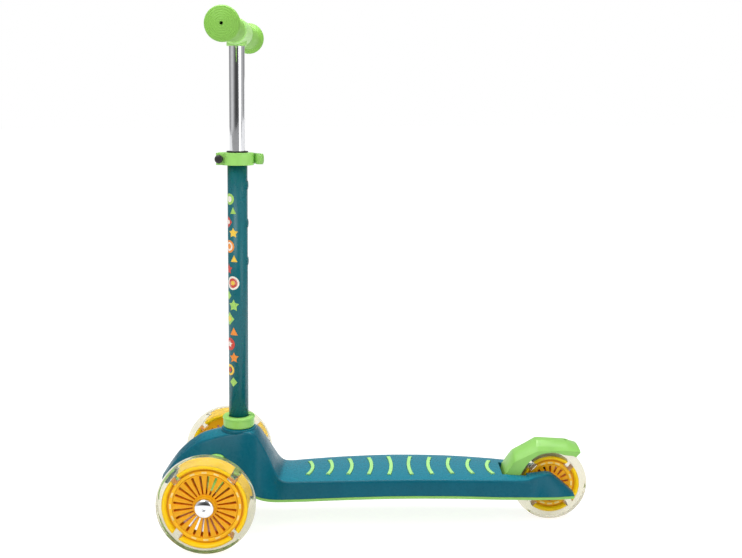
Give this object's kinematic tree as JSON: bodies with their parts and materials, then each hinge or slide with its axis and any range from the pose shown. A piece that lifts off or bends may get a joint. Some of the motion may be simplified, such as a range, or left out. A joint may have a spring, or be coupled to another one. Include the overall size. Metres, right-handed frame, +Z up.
{
  "type": "three wheel kids scooter",
  "caption": "Child's lean-to-steer kick scooter with two front wheels, a telescopic T handlebar, a ribbed deck and a rear foot brake over a small rear wheel.",
  "frame": {"origin": "on the ground, under the middle of the bounding box", "axes": "+X forwards, towards the front wheels; +Y to the rider's left; +Z up along the stem"},
  "size_m": [0.572, 0.272, 0.6714],
  "materials": {
    "deck_plastic": "fine satin grain",
    "green_plastic": "satin",
    "stem_paint": "satin paint",
    "grip_rubber": "soft matt",
    "strip_rubber": "soft matt",
    "wheel_core": "gloss",
    "clear_tyre": "clear gloss",
    "light_ring": "gloss",
    "chrome": "polished",
    "steel": "zinc plated",
    "black_plastic": "satin",
    "dark_rubber": "matt",
    "button_plastic": "satin"
  },
  "bodies": {
    "chassis": {"deck_shell": "deck_plastic", "deck_underplate": "green_plastic", "axle_housing": "green_plastic", "grip_strip_01": "strip_rubber", "grip_strip_02": "strip_rubber", "grip_strip_03": "strip_rubber", "grip_strip_04": "strip_rubber", "grip_strip_05": "strip_rubber", "grip_strip_06": "strip_rubber", "grip_strip_07": "strip_rubber", "grip_strip_08": "strip_rubber", "grip_strip_09": "strip_rubber", "grip_strip_10": "strip_rubber", "stem_collar": "green_plastic", "stem_tube": "stem_paint", "stem_bushing": "black_plastic", "clamp_collar": "green_plastic", "clamp_nut": "black_plastic", "clamp_bolt": "steel", "lever_pin": "steel", "kingpin_left": "steel", "kingpin_right": "steel", "rear_axle": "steel", "brake_pin": "steel", "brake_spring": "steel"},
    "steer_left": {"knuckle_left": "green_plastic", "axle_bolt_left": "chrome", "centring_bush_left": "dark_rubber"},
    "steer_right": {"knuckle_right": "green_plastic", "axle_bolt_right": "chrome", "centring_bush_right": "dark_rubber"},
    "tie_rod": {"tie_rod": "steel"},
    "wheel_front_left": {"front_left_core": "wheel_core", "front_left_tyre": "clear_tyre", "front_left_light_ring": "light_ring", "front_left_bearing_outer": "steel", "front_left_bearing_inner": "steel"},
    "wheel_front_right": {"front_right_core": "wheel_core", "front_right_tyre": "clear_tyre", "front_right_light_ring": "light_ring", "front_right_bearing_outer": "steel", "front_right_bearing_inner": "steel"},
    "wheel_rear": {"rear_core": "wheel_core", "rear_tyre": "clear_tyre", "rear_light_ring": "light_ring", "rear_bearing_outer": "steel", "rear_bearing_inner": "steel"},
    "handle": {"handle_post": "chrome", "handle_joint": "green_plastic", "handle_bar": "steel", "grip_left": "grip_rubber", "grip_right": "grip_rubber", "button_spring": "steel"},
    "height_button": {"height_button": "button_plastic"},
    "clamp_lever": {"clamp_lever": "green_plastic"},
    "brake": {"brake_fender": "green_plastic", "brake_shoe": "dark_rubber"}
  },
  "joints": [
    {"name": "steer_left", "type": "hinge", "parent": "chassis", "child": "steer_left", "pos_m": [0.211, 0.044, 0.0625], "axis": [0.4226, 0, 0.9063], "range_deg": [-15, 15], "stiffness_Nm_per_rad": 6},
    {"name": "steer_right", "type": "hinge", "parent": "chassis", "child": "steer_right", "pos_m": [0.211, -0.044, 0.0625], "axis": [0.4226, 0, 0.9063], "range_deg": [-15, 15], "stiffness_Nm_per_rad": 6},
    {"name": "tie_rod_swing", "type": "hinge", "parent": "steer_left", "child": "tie_rod", "pos_m": [0.18925, 0.044, 0.07264], "axis": [0.4226, 0, 0.9063], "range_deg": [-15, 15]},
    {"name": "front_left_spin", "type": "hinge", "parent": "steer_left", "child": "wheel_front_left", "pos_m": [0.211, 0.107, 0.0625], "axis": [0, 1, 0], "continuous": true},
    {"name": "front_right_spin", "type": "hinge", "parent": "steer_right", "child": "wheel_front_right", "pos_m": [0.211, -0.107, 0.0625], "axis": [0, 1, 0], "continuous": true},
    {"name": "rear_spin", "type": "hinge", "parent": "chassis", "child": "wheel_rear", "pos_m": [-0.236, 0, 0.05], "axis": [0, 1, 0], "continuous": true},
    {"name": "handle_slide", "type": "slide", "parent": "chassis", "child": "handle", "axis": [-0.0161, 0, 0.9999], "range_m": [-0.1, 0]},
    {"name": "height_button", "type": "slide", "parent": "handle", "child": "height_button", "axis": [-0.9999, 0, -0.0161], "range_m": [0, 0.003], "stiffness_N_per_m": 400, "springref_m": 0.005},
    {"name": "clamp_lever", "type": "hinge", "parent": "chassis", "child": "clamp_lever", "pos_m": [0.19786, -0.0208, 0.48828], "axis": [-0.0161, 0, 0.9999], "range_deg": [0, 150]},
    {"name": "foot_brake", "type": "hinge", "parent": "chassis", "child": "brake", "pos_m": [-0.1805, 0, 0.06], "axis": [0, -1, 0], "range_deg": [0, 2.6], "stiffness_Nm_per_rad": 12, "springref_deg": -3.44}
  ],
  "couplings": [
    {"joint": "steer_right", "follows": "steer_left", "ratio": 1},
    {"joint": "tie_rod_swing", "follows": "steer_left", "ratio": -1}
  ]
}
